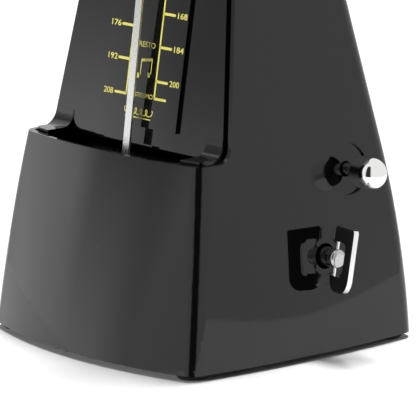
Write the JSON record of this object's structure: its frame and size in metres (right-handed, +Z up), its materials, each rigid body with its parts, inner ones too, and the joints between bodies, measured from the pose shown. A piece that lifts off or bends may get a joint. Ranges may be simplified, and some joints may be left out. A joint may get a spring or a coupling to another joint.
{
  "type": "mechanical metronome",
  "caption": "Pyramid-shaped wind-up metronome with a glossy case, open dial front, sliding-weight pendulum, folding winding key and bell pull.",
  "frame": {"origin": "centre of the object's outline in plan, key and bell pull included, on the surface that it stands on", "axes": "+Z up, -Y towards the dial front, +X towards the side with the winding key and the bell pull"},
  "size_m": [0.1202, 0.0986, 0.216],
  "materials": {
    "black_gloss": "high gloss moulded plastic",
    "black_gloss_plate": "high gloss plate with printed beat marks",
    "black_matte": "fine moulded grain",
    "screw_steel": "plain zinc-plated screws",
    "rubber": "matt rubber",
    "brass_plate": "brushed sheet brass",
    "dark_steel": "dark phosphated sheet steel",
    "turned_steel": "turned steel",
    "bell_brass": "polished bell metal",
    "spring_steel": "blued to grey spring steel",
    "brass_wheel": "cut brass",
    "white_nylon": "natural white nylon",
    "key_steel": "bright drawn steel",
    "chrome": "bright plating",
    "rod_steel": "long-grain brushed strip",
    "bob_steel": "dull grey turned disc",
    "weight_aluminium": "bright die-cast"
  },
  "bodies": {
    "frame": {"case_shell": "black_gloss", "top_cap": "black_gloss", "dial_panel": "black_gloss", "scale_plate": "black_gloss_plate", "base_plate": "black_matte", "base_screws": "screw_steel", "rubber_feet": "rubber", "left_plate": "dark_steel", "right_plate": "dark_steel", "pillars": "turned_steel", "plate_screws": "screw_steel", "foot_screws": "screw_steel", "front_bridge": "black_matte", "rear_bridge": "brass_plate", "crown_cock": "brass_plate", "top_bridge": "dark_steel", "click_screw": "screw_steel", "bell_post": "turned_steel", "bell_cup": "bell_brass", "detent_spring": "spring_steel"},
    "barrel": {"barrel_drum": "brass_wheel", "barrel_cover": "brass_wheel", "mainspring": "spring_steel"},
    "second": {"second_arbor": "turned_steel", "second_wheel": "brass_wheel"},
    "crown": {"crown_arbor": "turned_steel", "crown_wheel": "brass_wheel", "beat_cams": "white_nylon"},
    "winder": {"winding_arbor": "key_steel", "key_pin": "chrome", "ratchet_wheel": "turned_steel"},
    "key": {"key_wing": "chrome"},
    "click": {"click": "turned_steel", "click_spring": "spring_steel"},
    "pendulum": {"verge_arbor": "turned_steel", "pendulum_rod": "rod_steel", "rod_hub": "brass_wheel", "bob_weight": "bob_steel"},
    "weight": {"tempo_weight": "weight_aluminium", "weight_spring": "spring_steel"},
    "pull": {"bell_rod": "key_steel", "bell_knob": "chrome"},
    "hammer": {"bell_hammer": "turned_steel", "hammer_spring": "spring_steel"}
  },
  "joints": [
    {"name": "barrel_spin", "type": "hinge", "parent": "frame", "child": "barrel", "pos_m": [-0.00614, 0.0136, 0.0313], "axis": [1, 0, 0], "continuous": true},
    {"name": "second_spin", "type": "hinge", "parent": "frame", "child": "second", "pos_m": [-0.00614, -0.0083, 0.0266], "axis": [1, 0, 0], "continuous": true},
    {"name": "crown_spin", "type": "hinge", "parent": "frame", "child": "crown", "pos_m": [-0.00614, -0.0019, 0.043], "axis": [1, 0, 0], "continuous": true},
    {"name": "key_wind", "type": "hinge", "parent": "frame", "child": "winder", "pos_m": [-0.00614, 0.0136, 0.0313], "axis": [1, 0, 0], "continuous": true},
    {"name": "key_fold", "type": "hinge", "parent": "winder", "child": "key", "pos_m": [0.04815, 0.0136, 0.0313], "axis": [0, 0.1908, 0.9816], "range_deg": [-63, 97]},
    {"name": "click_lift", "type": "hinge", "parent": "frame", "child": "click", "pos_m": [-0.00614, 0.0206, 0.04342], "axis": [1, 0, 0], "range_deg": [-12, 0], "stiffness_Nm_per_rad": 0.004, "springref_deg": 5.73},
    {"name": "pendulum_swing", "type": "hinge", "parent": "frame", "child": "pendulum", "pos_m": [-0.00614, 0.0041, 0.043], "axis": [0, 1, 0], "range_deg": [-25, 25]},
    {"name": "weight_slide", "type": "slide", "parent": "pendulum", "child": "weight", "axis": [0, 0.1348, 0.9909], "range_m": [-0.0787, 0.0424]},
    {"name": "bell_pull", "type": "slide", "parent": "frame", "child": "pull", "axis": [1, 0, 0], "range_m": [0, 0.0082]},
    {"name": "hammer_swing", "type": "hinge", "parent": "pull", "child": "hammer", "pos_m": [-0.03234, 0.0255, 0.0568], "axis": [1, 0, 0], "range_deg": [-6, 4], "stiffness_Nm_per_rad": 0.03}
  ],
  "couplings": [
    {"joint": "second_spin", "follows": "crown_spin", "ratio": -0.22222},
    {"joint": "barrel_spin", "follows": "crown_spin", "ratio": 0.037037}
  ]
}
